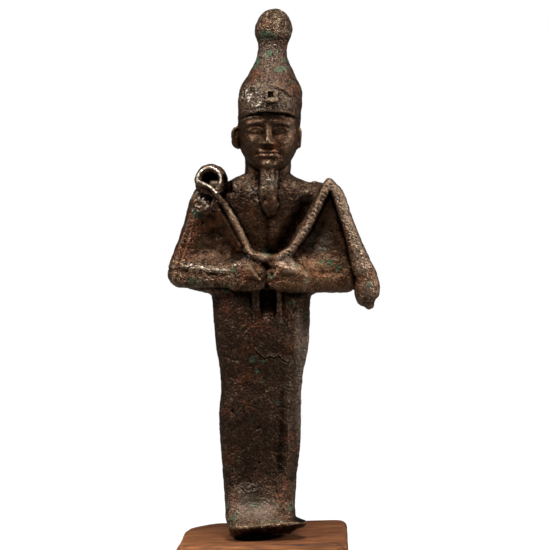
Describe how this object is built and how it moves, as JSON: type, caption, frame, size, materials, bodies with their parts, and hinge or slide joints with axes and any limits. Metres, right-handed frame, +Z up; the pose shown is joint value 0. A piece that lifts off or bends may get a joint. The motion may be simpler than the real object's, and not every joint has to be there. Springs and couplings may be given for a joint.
{
  "type": "osiris figure",
  "caption": "Standing shrouded bronze figure with tall crown, crook and flail, broken off at the feet and held up on a small wooden block.",
  "frame": {"origin": "middle of the wooden block's flat underside, which rests on the surface", "axes": "+Z up along the figure, +X towards the figure's left, and the figure faces -Y"},
  "size_m": [0.0527, 0.0466, 0.1483],
  "materials": {
    "patinated_bronze": "worn brown bronze patina with reddish and green patches",
    "oiled_wood": "orange-brown wood, sawn and rubbed, with straight grain"
  },
  "bodies": {
    "root": {"bronze_figure": "patinated_bronze", "wooden_block": "oiled_wood"}
  },
  "joints": []
}
